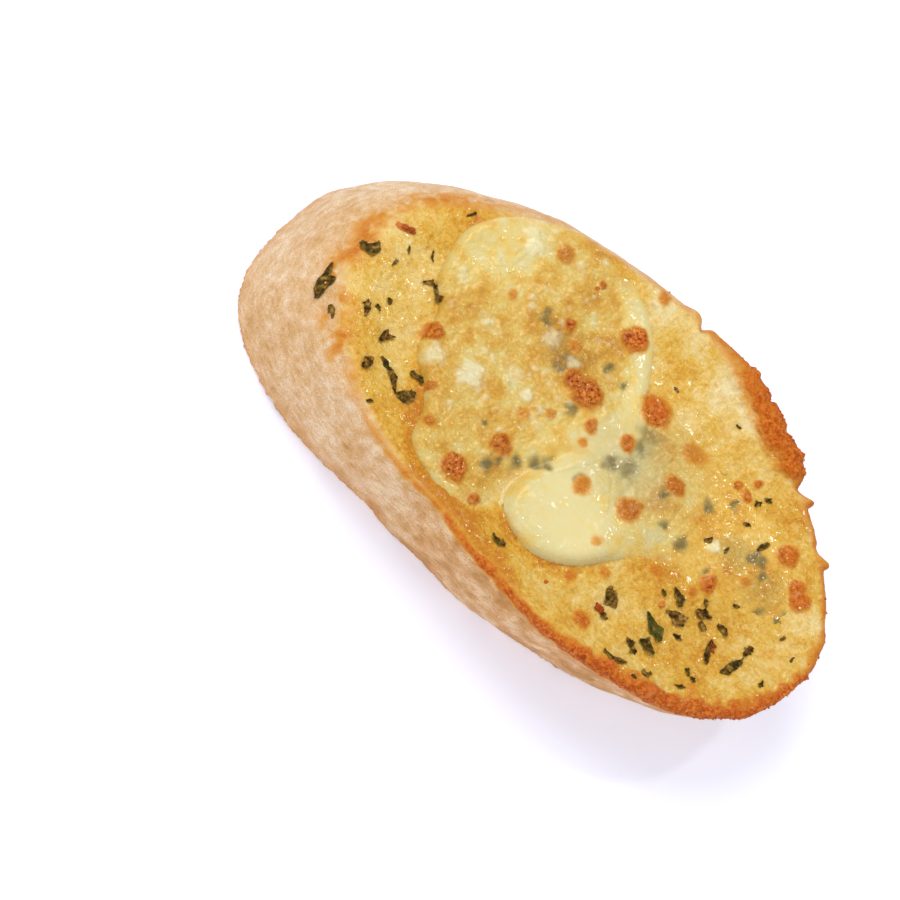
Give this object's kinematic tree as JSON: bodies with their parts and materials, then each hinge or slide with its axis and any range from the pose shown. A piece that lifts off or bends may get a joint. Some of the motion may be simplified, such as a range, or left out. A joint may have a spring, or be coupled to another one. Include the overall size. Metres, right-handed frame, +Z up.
{
  "type": "garlic bread",
  "caption": "Slanted oval slice of baguette with a rolled crust, torn ear, buttered crumb, two melted slices of browned cheese and parsley flakes.",
  "frame": {"origin": "middle of the flat cut underside that the slice lies on", "axes": "+Z up out of the buttered face; +X along the slice, towards the end that the slanted cut leaves sharp; +Y towards the domed side of the loaf with the torn ear"},
  "size_m": [0.126, 0.0693, 0.0244],
  "materials": {
    "toasted_bread": "dry baked crust round a porous crumb soaked with butter",
    "browned_cheese": "melted grated cheese, grainy and oily, browned in spots",
    "melted_cheese": "smooth melted cheese, slightly see-through where thin"
  },
  "bodies": {
    "root": {"bread_slice": "toasted_bread", "cheese_upper": "browned_cheese", "cheese_lower": "melted_cheese"}
  },
  "joints": []
}
